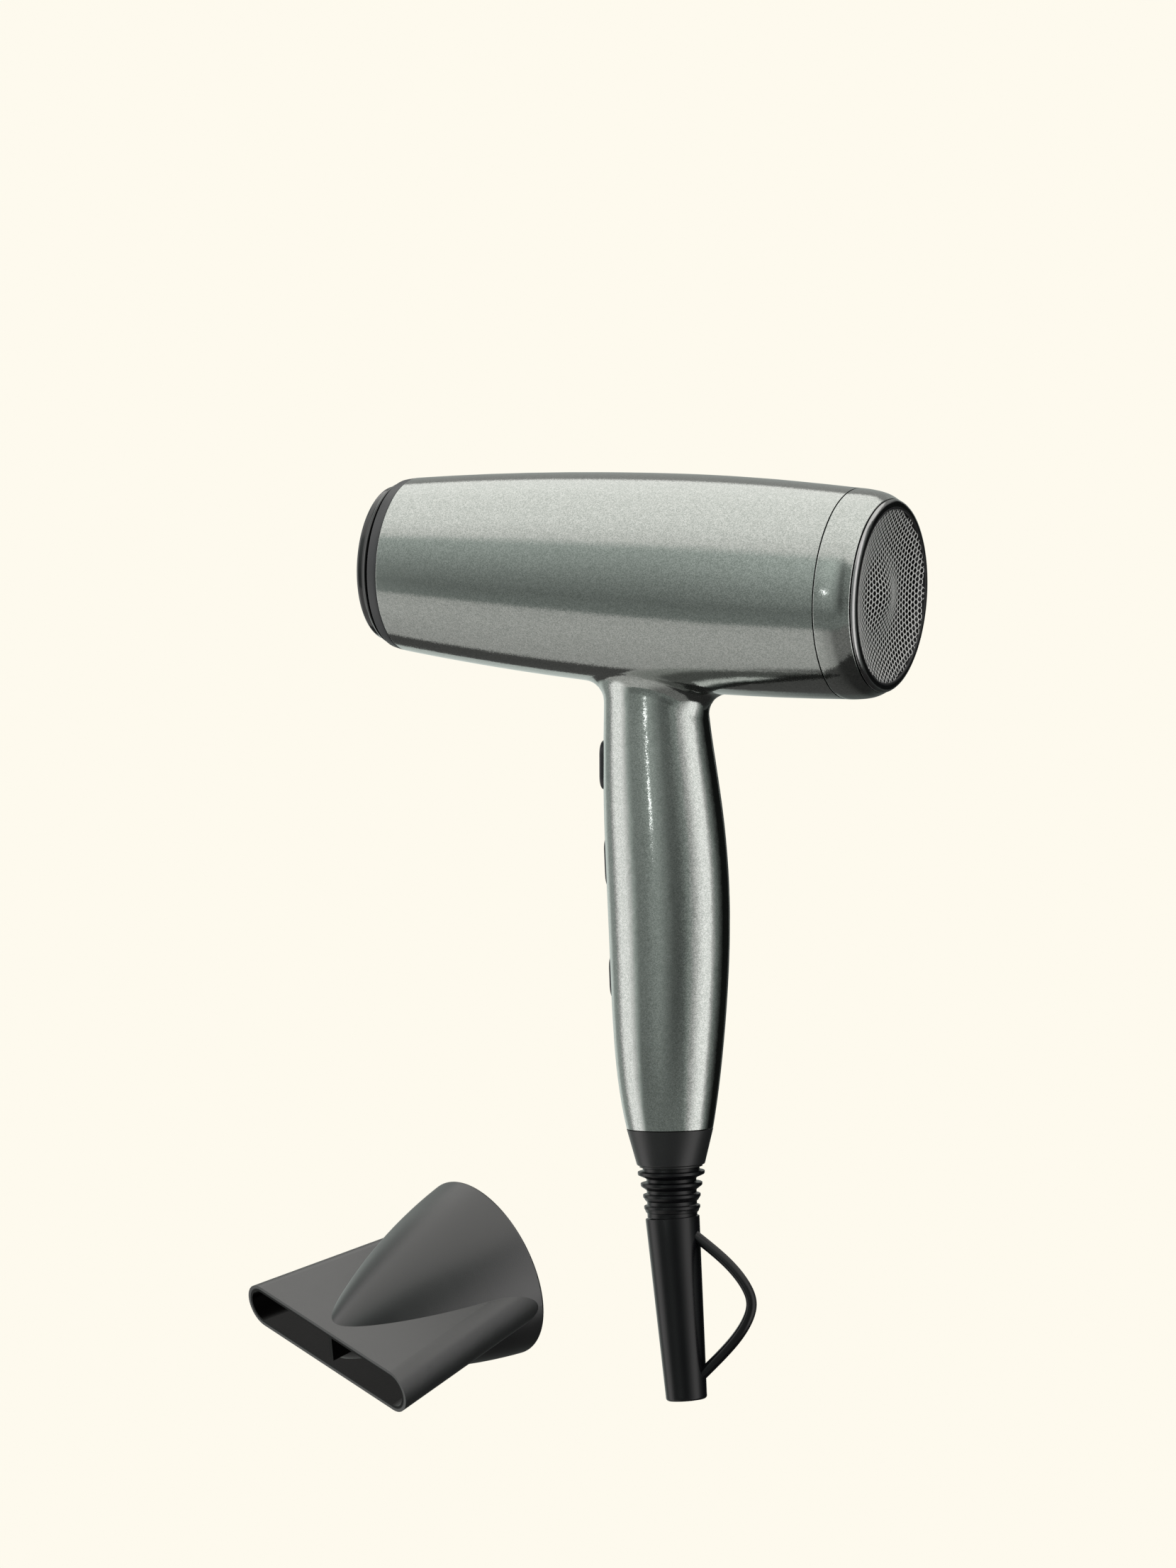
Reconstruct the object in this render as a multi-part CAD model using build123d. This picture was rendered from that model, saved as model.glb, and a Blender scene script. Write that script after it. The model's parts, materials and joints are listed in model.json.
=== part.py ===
from build123d import *
import os
from math import cos, radians, sin

# A hand-held hair dryer: a barrel along X with its outlet at -X, a raked handle below it, a
# flexible strain relief with a hanging loop, and a flat concentrator nozzle lying beside it.
# The origin is the middle of the hand grip. Lengths are in millimetres.

# ---------------------------------------------------------------- driving dimensions
AXIS_Z = 112.0          # height of the barrel axis above the grip
WALL = 2.0              # moulded wall of the housing
OUTLET_X = -99.8        # painted barrel's front edge
OUTLET_R = 29.5
CAP_SEAM_X = 62.1       # seam between the housing and the rear cap
CAP_SEAM_R = 35.0
BEZEL_SEAM_X = 74.1     # seam between the rear cap and the bezel ring
BEZEL_SEAM_R = 32.1
SEAM = 0.35             # open gap at a visible seam
BARREL_CROWN = ((-56.0, 33.6), (-20.0, 35.6), (14.0, 36.4), (40.0, 35.95))

RAKE = 4.5              # handle's lean, degrees: its foot lies further back than its top
OVAL = 0.85             # grip section: half width over half depth
# height along the handle, front edge, rear edge
GRIP_STATIONS = (
    (92.0, -20.4, 17.0),
    (56.0, -20.7, 17.2),
    (20.0, -20.9, 21.0),
    (-14.0, -20.4, 20.7),
    (-38.0, -20.0, 18.5),
    (-58.0, -18.6, 15.8),
    (-71.4, -16.4, 13.4),
)
NECK_FILLET = 7.5       # blend between barrel and handle
PANEL_HALF_WIDTH = 7.5
PANEL_TOP = 64.0
PANEL_FOOT = -36.0
BUTTONS = (             # name, middle, length, how far it stands proud
    ("power_button", 50.8, 16.9, 1.5),
    ("heat_button", 18.1, 17.9, 0.6),
    ("speed_button", -20.5, 15.5, 0.6),
)
BUTTON_WIDTH = 10.4
BUTTON_GAP = 0.3
BUTTON_BACK = -17.4

CONE_TOP = -71.75
CONE_FOOT = -83.8
CONE_FOOT_R = 11.4
RELIEF_X = -1.5         # strain relief axis in the handle's frame
RIB_TOP = -85.9
RIB_PITCH = 3.85
RIB_RADII = (11.3, 10.4, 9.7, 9.45)
RIB_CORE_R = 8.4
SLEEVE_TOP = -101.4
SLEEVE_LEAN = 3.1
SLEEVE_LENGTH = 61.8
SLEEVE_TOP_R = 9.1
SLEEVE_END_R = 6.9
LOOP_WIRE_R = 1.9

NOZZLE_CENTRE = (-17.87, -93.5, -109.75)
NOZZLE_LONG = (0.8915, -0.3689, -0.2631)
NOZZLE_AXIS = (-0.4441, -0.8263, -0.3463)
NOZZLE_R = 30.5
NOZZLE_LENGTH = 65.8
NOZZLE_SLOT_HALF = 41.0
NOZZLE_HALF_HIGH = 7.4
NOZZLE_TIP = 61.4       # where the cone's ridge runs out on the flat duct
NOZZLE_BULGE = 3.3
NOZZLE_WALL = 2.0

SHAFT_R = 1.6
SHAFT_PLAY = 0.03
MOTOR_R = 14.0
MOTOR_X = (13.0, 43.0)
FAN_X = (45.5, 56.5)
FAN_R = 29.4
FAN_HUB_R = 13.0
FAN_BLADES = 9
DUCT_R = 31.4
DUCT_BORE_R = 30.2
HEATER_R = 26.6
HEATER_X = (-92.0, 4.0)
COIL_R = 22.0
COIL_WIRE_R = 0.6
COIL_TURNS = 13

BOARD_X = -12.0
BOARD_Z = (-38.0, 60.0)
BOARD_THICK = 1.6
BOARD_WIDTH = 20.0
SWITCH_HIGH = 2.9

grip = Plane((0, 0, 0), x_dir=(cos(radians(RAKE)), 0, sin(radians(RAKE))),
             z_dir=(-sin(radians(RAKE)), 0, cos(radians(RAKE)))).location
relief = grip * Pos(RELIEF_X, 0, SLEEVE_TOP) * Rot(0, -SLEEVE_LEAN, 0)
nozzle = Plane(NOZZLE_CENTRE, x_dir=NOZZLE_LONG, z_dir=NOZZLE_AXIS).location
pieces = {}


# ---------------------------------------------------------------- shaping helpers
def turned(*outline):
    """Revolve a closed outline of (x, radius) points or edges about the barrel axis."""
    if not isinstance(outline[0], tuple):
        face = make_face(list(outline))
    else:
        face = make_face(Polyline(*outline, close=True))
    return Pos(0, 0, AXIS_Z) * revolve(face, Axis.X)


def tube(x0, x1, outer, inner):
    """A plain ring about the barrel axis."""
    return turned((x0, inner), (x1, inner), (x1, outer), (x0, outer))


def along_barrel(shape):
    """Place a shape modelled about +Z so that its axis runs along the barrel."""
    return Pos(0, 0, AXIS_Z) * Rot(0, 90, 0) * shape


def grip_section(height, front, rear, grow):
    """One oval of the handle, in the handle's own frame."""
    depth = (rear - front) / 2
    oval = Ellipse(depth + grow, OVAL * depth + grow)
    return Pos((front + rear) / 2, 0, height) * oval


def grip_solid(grow, overrun=0.0):
    """The handle's body, every section grown by the same amount and the foot run on."""
    height, front, rear = GRIP_STATIONS[-1]
    foot = (height - overrun, front + 0.17 * overrun, rear - 0.15 * overrun)
    return loft([grip_section(*station, grow) for station in (*GRIP_STATIONS[:-1], foot)])


def slot_prism(middle, length, width, x_front, x_back):
    """A round-ended bar along the handle's X axis."""
    outline = Plane.YZ * Pos(0, middle) * Rot(0, 0, 90) * SlotOverall(length, width)
    return Pos(x_front, 0, 0) * extrude(outline, x_back - x_front)


# ---------------------------------------------------------------- housing
def barrel_solid(inset, overrun):
    """The barrel's crowned outline, drawn in by a wall and run past both ends."""
    crown = [(OUTLET_X, OUTLET_R - inset)]
    crown += [(x, r - inset) for x, r in BARREL_CROWN]
    crown += [(CAP_SEAM_X, CAP_SEAM_R - inset)]
    x0, x1 = OUTLET_X - overrun, CAP_SEAM_X + overrun
    edges = [Spline(*crown)]
    if overrun:
        edges += [Line((x0, crown[0][1]), crown[0]), Line(crown[-1], (x1, crown[-1][1]))]
    edges += [Polyline((x0, crown[0][1]), (x0, 0), (x1, 0), (x1, crown[-1][1]))]
    return turned(*edges)


def panel_prism(gap):
    length = PANEL_TOP - PANEL_FOOT + 2 * gap
    width = 2 * (PANEL_HALF_WIDTH + gap)
    return slot_prism((PANEL_TOP + PANEL_FOOT) / 2, length, width, -40, -14.5)


def make_housing():
    barrel = barrel_solid(0, 0)
    handle = grip * grip_solid(0)
    whole = barrel + handle
    seam = new_edges(barrel, handle, combined=whole)
    whole = fillet(seam, NECK_FILLET)
    whole -= barrel_solid(WALL, 1)
    top = AXIS_Z - 30
    cavity = grip_solid(-WALL, 2.5) & Pos(0, 0, top - 92) * Box(80, 80, 184)
    whole -= grip * cavity
    whole -= grip * panel_prism(0.15)
    bosses = [Pos(0, 0, z) * Box(7, 9, 4) for z in (BOARD_Z[0] + 4, BOARD_Z[1] - 4)]
    inside = grip_solid(-WALL / 2)
    for boss in bosses:
        ledge = Pos(BOARD_X + BOARD_THICK / 2 + 3.5, 0, 0) * boss
        web = Pos(6, 0, 0) * Pos(0, 0, boss.center().Z) * Box(24, 2, 4)
        whole += grip * ((ledge + web) & inside)
    for z in (BOARD_Z[0] + 4, BOARD_Z[1] - 4):
        hole = Pos(BOARD_X + 4, 0, z) * Rot(0, 90, 0) * Cylinder(1.0, 7)
        whole -= grip * hole
    pieces["main_housing"] = whole


def make_panel_and_buttons():
    skin = grip_solid(0) - grip_solid(-WALL)
    panel = skin & panel_prism(0)
    for name, middle, length, proud in BUTTONS:
        hole = slot_prism(middle, length + 2 * BUTTON_GAP, BUTTON_WIDTH + 2 * BUTTON_GAP, -40, -10)
        panel -= hole
        cap = grip_solid(proud) & slot_prism(middle, length, BUTTON_WIDTH, -40, BUTTON_BACK)
        tab = Pos(-17.1, 0, middle) * Box(1.0, 4.0, length + 2.4)
        foot = Pos(-17.2, 0, middle) * Box(0.9, 5.0, 5.0)
        pieces[name] = grip * (cap + (tab & grip_solid(-WALL - 0.3)) + foot)
    pieces["handle_front_panel"] = grip * panel


# ---------------------------------------------------------------- outlet end
def make_outlet():
    band_x0, band_x1 = OUTLET_X - 3.9, OUTLET_X - 0.3
    bore = 25.6
    pieces["outlet_band"] = turned(
        ThreePointArc((band_x1, OUTLET_R - 0.1), (band_x1 - 1.9, 29.15), (band_x0, 28.75)),
        Polyline((band_x0, 28.75), (band_x0, bore), (-93, bore), (-93, 27.3),
                 (band_x1, 27.3), (band_x1, OUTLET_R - 0.1)))
    lip_x = OUTLET_X - 9.4
    flare_x = band_x0 - 1.0
    pieces["outlet_lip_ring"] = turned(
        ThreePointArc((lip_x + 1.1, 26.3), (lip_x + 0.3, 26.0), (lip_x, 25.3)),
        Polyline((lip_x, 25.3), (lip_x + 0.4, 23.6), (-101, 23.6), (-101, 25.5),
                 (flare_x, 25.5), (flare_x, 27.7), (flare_x - 0.5, 27.75)),
        ThreePointArc((flare_x - 0.5, 27.75), (flare_x - 1.2, 27.3), (lip_x + 2.3, 26.3)),
        Line((lip_x + 2.3, 26.3), (lip_x + 1.1, 26.3)))
    bars = tube(-100.9, -99.4, 25.5, 24.2) + tube(-100.9, -99.4, 19.4, 18.4)
    bars += tube(-100.9, -99.4, 12.4, 11.4) + tube(-100.9, -99.4, 5.4, 2.6)
    spoke = Pos(0, 14.8, 0) * Box(1.0, 20.0, 1.5)
    for k in range(12):
        bars += Pos(-100.15, 0, AXIS_Z) * Rot(30 * k + 15, 0, 0) * Rot(0, 90, 0) * spoke
    pieces["outlet_grille"] = bars
    holder = Pos(-93.6, 0, AXIS_Z + 15.4) * Rot(0, 90, 0) * Cylinder(2.4, 10.8)
    needle = Pos(-100.5, 0, AXIS_Z + 15.4) * Rot(0, 90, 0) * Cylinder(0.4, 4)
    pieces["ion_emitter"] = holder + needle


# ---------------------------------------------------------------- heater
def make_heater():
    pieces["heater_tube"] = tube(HEATER_X[0], HEATER_X[1], HEATER_R, HEATER_R - 0.6)
    length = 80.0
    middle = HEATER_X[0] + 4.2 + length / 2
    upright = Box(length, 0.8, 2 * (COIL_R - COIL_WIRE_R - 0.1))
    level = Rot(90, 0, 0) * upright
    pieces["heater_boards"] = Pos(middle, 0, AXIS_Z) * (upright + level)
    pitch = 5.2
    first = middle - pitch * (COIL_TURNS - 1) / 2
    ring = along_barrel(Torus(COIL_R, COIL_WIRE_R))
    pieces["heating_coils"] = Compound([Pos(first + pitch * k, 0, 0) * ring for k in range(COIL_TURNS)])
    body = Pos(-16, 2.2, AXIS_Z + 10) * Rot(90, 0, 0) * Cylinder(5, 3.6)
    legs = Pos(-16, 2.2, AXIS_Z + 10) * Box(15, 0.6, 3)
    pieces["thermostat"] = body + legs
    fuse = Pos(-18, -2.0, AXIS_Z - 10) * Rot(0, 90, 0) * Cylinder(1.6, 10)
    fuse_leads = Pos(-18, -2.0, AXIS_Z - 10) * Rot(0, 90, 0) * Cylinder(0.4, 24)
    pieces["thermal_fuse"] = fuse + fuse_leads


# ---------------------------------------------------------------- motor and fan
def make_motor():
    x0, x1 = MOTOR_X
    pieces["motor_can"] = turned((x0, 4.0), (x0, MOTOR_R), (x1, MOTOR_R), (x1, 4.0), (x1 - 1.2, 4.0),
                                 (x1 - 1.2, 12.6), (x0 + 1.2, 12.6), (x0 + 1.2, 4.0))
    play = SHAFT_R + SHAFT_PLAY
    pieces["motor_bearings"] = Compound([tube(x0, x0 + 4, 4.0, play), tube(x1 - 4, x1, 4.0, play)])
    stator = tube(21, 35, 12.6, 10.0)
    for k in range(6):
        slot = Pos(28, 0, AXIS_Z) * Rot(60 * k, 0, 0) * Pos(0, 11, 0) * Box(15, 2.4, 2.0)
        stator -= slot
    pieces["motor_stator"] = stator
    pieces["rotor_magnet"] = tube(22, 34, 9.4, SHAFT_R)
    pieces["motor_shaft"] = along_barrel(Pos(0, 0, 34) * Cylinder(SHAFT_R, 45))


def make_fan():
    x0, x1 = FAN_X
    middle = (x0 + x1) / 2
    hub = turned((x0, SHAFT_R), (x0, FAN_HUB_R), (x1 - 4, FAN_HUB_R), (x1, 7.0), (x1, SHAFT_R))
    blade = Pos(0, 0, 21) * Rot(0, 0, 38) * Box(13.0, 1.3, 20)
    rim = along_barrel(Pos(0, 0, middle) * Cylinder(FAN_R, 30))
    fan = hub
    for k in range(FAN_BLADES):
        fan += (Pos(middle, 0, AXIS_Z) * Rot(360 / FAN_BLADES * k, 0, 0) * blade) & rim
    pieces["fan_impeller"] = fan
    duct = turned((58, DUCT_BORE_R), (58, DUCT_R), (14, DUCT_R), (3, 27.8), (-5, 27.8),
                  (-5, HEATER_R), (HEATER_X[1] + 0.1, HEATER_R), (14.5, DUCT_BORE_R))
    ring = tube(20, 36, DUCT_BORE_R + 0.4, MOTOR_R)
    for k in range(7):
        vane = Pos(28, 0, AXIS_Z) * Rot(360 / 7 * k + 20, 0, 0) * Pos(0, 0, 22) * Rot(0, 0, -14)
        duct += (vane * Box(15, 1.2, 18)) & ring
    pieces["fan_duct"] = duct
    pieces["duct_gasket"] = Compound([tube(22, 26, 33.9, DUCT_R), tube(46, 50, 33.2, DUCT_R)])


# ---------------------------------------------------------------- rear cap
def make_rear_cap():
    x0, x1 = CAP_SEAM_X + SEAM, BEZEL_SEAM_X
    pieces["rear_cap"] = turned(
        ThreePointArc((x0, CAP_SEAM_R), (69.4, 34.25), (x1, BEZEL_SEAM_R)),
        Polyline((x1, BEZEL_SEAM_R), (x1, 29.6), (70.5, 29.6), (70.5, 31.0), (x0 - 5, 31.9),
                 (x0 - 5, 32.5), (x0, 32.5), (x0, CAP_SEAM_R)))
    crest = BEZEL_SEAM_X + 1.8
    pieces["bezel_ring"] = turned(
        ThreePointArc((x1 + SEAM, BEZEL_SEAM_R - 0.1), (crest - 0.3, 30.9), (crest, 29.7)),
        ThreePointArc((crest, 29.7), (crest - 0.2, 29.15), (crest - 0.9, 28.9)),
        Polyline((crest - 0.9, 28.9), (71.6, 28.9), (71.6, 29.5), (x1 + SEAM, 29.5),
                 (x1 + SEAM, BEZEL_SEAM_R - 0.1)))
    rim_x = 75.6
    dish = [(rim_x, 28.7), (73.6, 22.5), (72.2, 15.0), (74.0, 6.0), (75.2, 0.0)]
    back = [(x - 0.8, r) for x, r in dish]
    grille = turned(Spline(*dish, tangents=[(-0.5, -1), (0, -1)]),
                    Line(dish[-1], back[-1]),
                    Spline(*back, tangents=[(-0.5, -1), (0, -1)]),
                    Line(back[0], dish[0]))
    hole = Rot(0, 90, 0) * Cylinder(1.5, 12)
    pitch = 4.4
    for row in range(-6, 7):
        for column in range(-6, 7):
            y = pitch * (column + (row % 2) / 2)
            z = pitch * 0.866 * row
            if y * y + z * z < 25.5 ** 2:
                grille -= Pos(73, y, AXIS_Z + z) * hole
    pieces["intake_grille"] = grille
    pieces["grille_retainer"] = turned((71.8, 27.4), (73.6, 27.4), (74.3, 28.82), (71.8, 28.82))
    frame = tube(67.6, 70.4, 29.5, 27.6) + tube(68.4, 69.6, 6.0, 3.0)
    for k in range(6):
        frame += Pos(69, 0, AXIS_Z) * Rot(60 * k, 0, 0) * Pos(0, 0, 16.8) * Box(1.2, 1.2, 22.6)
    pieces["filter_frame"] = frame
    pieces["filter_mesh"] = tube(70.5, 70.9, 28.6, 0)


# ---------------------------------------------------------------- inside the handle
def make_electronics():
    middle = (BOARD_Z[0] + BOARD_Z[1]) / 2
    board = Pos(BOARD_X, 0, middle) * Box(BOARD_THICK, BOARD_WIDTH, BOARD_Z[1] - BOARD_Z[0])
    ends = (BOARD_Z[0] + 4, BOARD_Z[1] - 4)
    for z in ends:
        board -= Pos(BOARD_X, 0, z) * Rot(0, 90, 0) * Cylinder(1.3, 4)
    pieces["control_board"] = grip * board
    face = BOARD_X - BOARD_THICK / 2
    switches = []
    screws = []
    for name, z, length, proud in BUTTONS:
        body = Pos(face - 1.1, 0, z) * Box(2.2, 6, 6)
        plunger = Pos(face - SWITCH_HIGH / 2, 0, z) * Rot(0, 90, 0) * Cylinder(1.7, SWITCH_HIGH)
        switches.append(grip * (body + plunger))
    for z in ends:
        head = Pos(face - 0.6, 0, z) * Rot(0, 90, 0) * Cylinder(2.2, 1.2)
        stem = Pos(face + 2.6, 0, z) * Rot(0, 90, 0) * Cylinder(0.95, 5.6)
        screws.append(grip * (head + stem))
    pieces["push_switches"] = Compound(switches)
    pieces["board_screws"] = Compound(screws)
    pieces["ion_generator"] = grip * (Pos(-4.0, 0, -10) * fillet(Box(12, 15, 30).edges(), 1.0))
    rest = BOARD_X + BOARD_THICK / 2
    triac = Pos(rest + 2.3, 5.5, 22) * Box(4.4, 4, 10)
    capacitor = Pos(rest + 4.1, 0, 38) * Rot(0, 90, 0) * Cylinder(4, 8)
    coil = Pos(rest + 3.1, -5.0, 22) * Rot(0, 90, 0) * (Cylinder(3.6, 6))
    pieces["board_parts"] = Compound([grip * part for part in (triac, capacitor, coil)])


def make_leads():
    wires = []
    for side in (-1, 1):
        path = FilletPolyline((-1.5, 2.2 * side, -58.0), (9.0, 3.6 * side, -34.0),
                              (10.0, 4.6 * side, 30.0), (5.0, 4.6 * side, 66.0),
                              radius=[25, 60])
        wires.append(grip * sweep(Plane(path @ 0, z_dir=path % 0) * Circle(1.1), path))
    pieces["power_leads"] = Compound(wires)
    middle = Pos(RELIEF_X, 0, -63.0)
    clamp = Pos(2.1, 0, 0) * Box(3.2, 15, 4) + Pos(-2.1, 0, 0) * Box(3.8, 15, 4)
    clamp -= Cylinder(2.6, 8)
    screws = []
    for y in (-5.4, 5.4):
        clamp -= Pos(0, y, 0) * Rot(0, 90, 0) * Cylinder(1.1, 12)
        head = Pos(4.3, y, 0) * Rot(0, 90, 0) * Cylinder(1.7, 1.0)
        stem = Pos(0.1, y, 0) * Rot(0, 90, 0) * Cylinder(1.0, 7.4)
        screws.append(grip * middle * (head + stem))
    pieces["cord_clamp"] = grip * middle * clamp
    pieces["clamp_screws"] = Compound(screws)


# ---------------------------------------------------------------- strain relief
def cone_solid(grow):
    low = GRIP_STATIONS[-1]
    depth = (low[2] - low[1]) / 2
    top = Pos(RELIEF_X, 0, CONE_TOP) * Ellipse(depth + grow, OVAL * depth + grow)
    foot = Pos(RELIEF_X, 0, CONE_FOOT) * Circle(CONE_FOOT_R + grow)
    return loft([top, foot], ruled=True)


def make_cone():
    cone = cone_solid(0)
    cone = fillet(cone.faces().sort_by(Axis.Z)[0].edges(), 0.6)
    cone += Pos(RELIEF_X, 0, CONE_FOOT - 0.3) * Cylinder(10.6, 0.6)
    low = GRIP_STATIONS[-1]
    depth = (low[2] - low[1]) / 2 - WALL - 0.25
    across = OVAL * (low[2] - low[1]) / 2 - WALL - 0.25
    collar_wall = 1.6
    cone += Pos(RELIEF_X, 0, CONE_TOP) * extrude(Ellipse(depth, across), 4.5)
    cone -= Pos(RELIEF_X, 0, CONE_TOP) * extrude(Ellipse(depth - collar_wall, across - collar_wall), 8)
    floor = CONE_FOOT + 2.5
    cone -= cone_solid(-WALL - 0.25 - collar_wall) & Pos(0, 0, floor + 50) * Box(80, 80, 100)
    cone -= Pos(RELIEF_X, 0, CONE_FOOT) * Cylinder(6.7, 12)
    pieces["end_cone"] = grip * cone


def make_relief():
    top = CONE_FOOT - 0.6
    outline = [(4.0, top + 6.0), (7.5, top + 6.0), (7.5, top + 3.2), (6.6, top + 3.2), (6.6, top),
               (9.6, top), (9.6, RIB_TOP)]
    for k, radius in enumerate(RIB_RADII):
        z = RIB_TOP - RIB_PITCH * k
        core = RIB_CORE_R if k else 8.6
        outline += [(radius, z - 0.1), (radius, z - 1.0), (radius - 0.8, z - 2.1), (core, z - 2.3)]
        if k < len(RIB_RADII) - 1:
            outline += [(core, z - RIB_PITCH)]
    foot = SLEEVE_TOP + 0.5
    outline += [(RIB_CORE_R, foot), (4.0, foot)]
    face = make_face(Plane.XZ * Polyline(*outline, close=True))
    pieces["relief_ribs"] = grip * Pos(RELIEF_X, 0, 0) * revolve(face, Axis.Z)
    gap = 0.05
    end = -SLEEVE_LENGTH
    half = make_face(Plane.XZ * (
        Line((4.0, -gap), (SLEEVE_TOP_R, -gap))
        + Line((SLEEVE_TOP_R, -gap), (SLEEVE_END_R, end + 1.2))
        + ThreePointArc((SLEEVE_END_R, end + 1.2), (SLEEVE_END_R - 0.5, end + 0.2), (4.4, end - 0.2))
        + Line((4.4, end - 0.2), (0, end - 0.6))
        + Line((0, end - 0.6), (0, end + 4))
        + Line((0, end + 4), (4.0, end + 4))
        + Line((4.0, end + 4), (4.0, -gap))))
    sleeve = revolve(half, Axis.Z)
    pieces["relief_sleeve"] = relief * sleeve
    route = FilletPolyline((6.2, 0, -5.6), (20.2, 0, -16.9), (28.3, 0, -29.6), (20.4, 0, -42.0),
                           (6.4, 0, -53.4), radius=[14, 7, 20])
    strand = sweep(Plane(route @ 0, z_dir=route % 0) * Circle(LOOP_WIRE_R), route)
    pieces["hanging_loop"] = relief * (strand - sleeve)


# ---------------------------------------------------------------- nozzle
def nozzle_solid(grow, x_start, x_end):
    """Round collar tapering onto a flat duct, in the nozzle's own frame (+Z to the slot)."""
    r0, r1 = NOZZLE_R + grow, NOZZLE_HALF_HIGH + grow
    middle = ((r0 + r1) / 2 + NOZZLE_BULGE, NOZZLE_TIP / 2)
    half = make_face(Plane.XZ * (
        ThreePointArc((r0, 0), middle, (r1, NOZZLE_TIP))
        + Polyline((r1, NOZZLE_TIP), (0, NOZZLE_TIP), (0, 0), (r0, 0))))
    cone = revolve(half, Axis.Z)
    rate = (NOZZLE_SLOT_HALF - NOZZLE_R + 0.8) / NOZZLE_LENGTH
    sections = []
    for z in (x_start, x_end):
        half_long = NOZZLE_R - 0.8 + rate * z + grow
        sections.append(Pos(0, 0, z) * SlotOverall(2 * half_long, 2 * (NOZZLE_HALF_HIGH + grow)))
    return cone + loft(sections, ruled=True)


def make_nozzle():
    shell = nozzle_solid(0, 0, NOZZLE_LENGTH)
    hollow = nozzle_solid(-NOZZLE_WALL, -1, NOZZLE_LENGTH + 1)
    mouth = Pos(0, 0, -1) * Cylinder(NOZZLE_R - NOZZLE_WALL, 4)
    shell = shell - hollow - mouth
    rims = shell.edges().filter_by(GeomType.CIRCLE)
    rims = [edge for edge in rims if abs(edge.center().Z) < 0.01 and edge.radius > NOZZLE_R - 0.1]
    shell = fillet(rims, 0.7)
    pieces["nozzle_shell"] = nozzle * shell
    liner = Pos(0, 0, 3.4) * (Cylinder(27.5, 2.4) - Cylinder(26.6, 5))
    for k in range(4):
        liner += Rot(0, 0, 45 + 90 * k) * Pos(26.5, 0, 4.0) * Box(1.2, 4, 1.2)
    pieces["nozzle_clip_ring"] = nozzle * liner
    high = 2 * (NOZZLE_HALF_HIGH - NOZZLE_WALL)
    pieces["nozzle_rib"] = nozzle * (Pos(0, 0, 59) * Box(1.6, high, 10))


make_housing()
make_panel_and_buttons()
make_outlet()
make_heater()
make_motor()
make_fan()
make_rear_cap()
make_electronics()
make_leads()
make_cone()
make_relief()
make_nozzle()

os.makedirs("parts", exist_ok=True)
for name, shape in pieces.items():
    export_step(shape, f"parts/{name}.step")
print(len(pieces), "pieces written")
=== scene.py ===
"""Finishes a hair dryer and its loose nozzle around their CAD frame."""
import json
import math

import bmesh
import bpy
from mathutils import Matrix, Vector
from mathutils.bvhtree import BVHTree


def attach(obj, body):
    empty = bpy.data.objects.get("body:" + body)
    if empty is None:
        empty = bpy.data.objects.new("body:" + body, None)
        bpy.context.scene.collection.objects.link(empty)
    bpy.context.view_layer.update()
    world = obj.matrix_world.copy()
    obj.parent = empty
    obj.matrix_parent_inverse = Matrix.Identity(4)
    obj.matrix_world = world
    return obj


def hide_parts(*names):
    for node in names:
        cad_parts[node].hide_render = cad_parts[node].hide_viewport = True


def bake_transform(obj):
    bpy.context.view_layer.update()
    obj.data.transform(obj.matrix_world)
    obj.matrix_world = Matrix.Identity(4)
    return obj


bl_info = {
    "name": "Hair Dryer",
    "version": (1, 0, 0),
    "blender": (4, 5, 0),
    "location": "View3D > Sidebar > Hair Dryer",
    "description": "Finishes a hand-held hair dryer and its loose nozzle around their CAD frame",
    "category": "Add Mesh",
}

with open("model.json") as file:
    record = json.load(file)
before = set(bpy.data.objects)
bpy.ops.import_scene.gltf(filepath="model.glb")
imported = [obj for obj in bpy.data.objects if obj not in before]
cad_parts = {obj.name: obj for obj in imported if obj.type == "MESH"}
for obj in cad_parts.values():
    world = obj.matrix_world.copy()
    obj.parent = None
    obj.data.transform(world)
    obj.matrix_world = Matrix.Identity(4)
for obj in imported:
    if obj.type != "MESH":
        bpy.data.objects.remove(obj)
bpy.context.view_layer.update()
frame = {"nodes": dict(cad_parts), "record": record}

MM = 0.001  # lengths in this file are in millimetres until a piece is finished
SHARP = math.radians(32)  # edges that fold by more than this are shown sharp

# ------------------------------------------------------------------ frames
AXIS_Z = 112.0  # barrel axis above the middle of the grip
RAKE = math.radians(4.5)  # lean of the handle
SLEEVE_LEAN = math.radians(3.1)  # lean of the sleeve against the handle
RELIEF_X = -1.5  # axis of the relief in the grip frame
SLEEVE_TOP = -101.4  # where the sleeve starts, in the grip frame
NOZZLE_CENTRE = (-17.87, -93.5, -109.75)  # middle of the collar's rim
SLOT_WAY = Vector((0.8915, -0.3689, -0.2631))  # along the nozzle's slot
FLOW_WAY = Vector((-0.4441, -0.8263, -0.3463))  # the way the air leaves it
GRIP = Matrix(((math.cos(RAKE), 0, -math.sin(RAKE), 0), (0, 1, 0, 0),
               (math.sin(RAKE), 0, math.cos(RAKE), 0), (0, 0, 0, 1)))
RELIEF = GRIP @ Matrix.Translation((RELIEF_X, 0, SLEEVE_TOP)) @ Matrix.Rotation(-SLEEVE_LEAN, 4, "Y")
BARREL = Matrix.Translation((0, 0, AXIS_Z)) @ Matrix.Rotation(math.radians(90), 4, "Y")
TO_METRES = Matrix.Scale(MM, 4)


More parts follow.
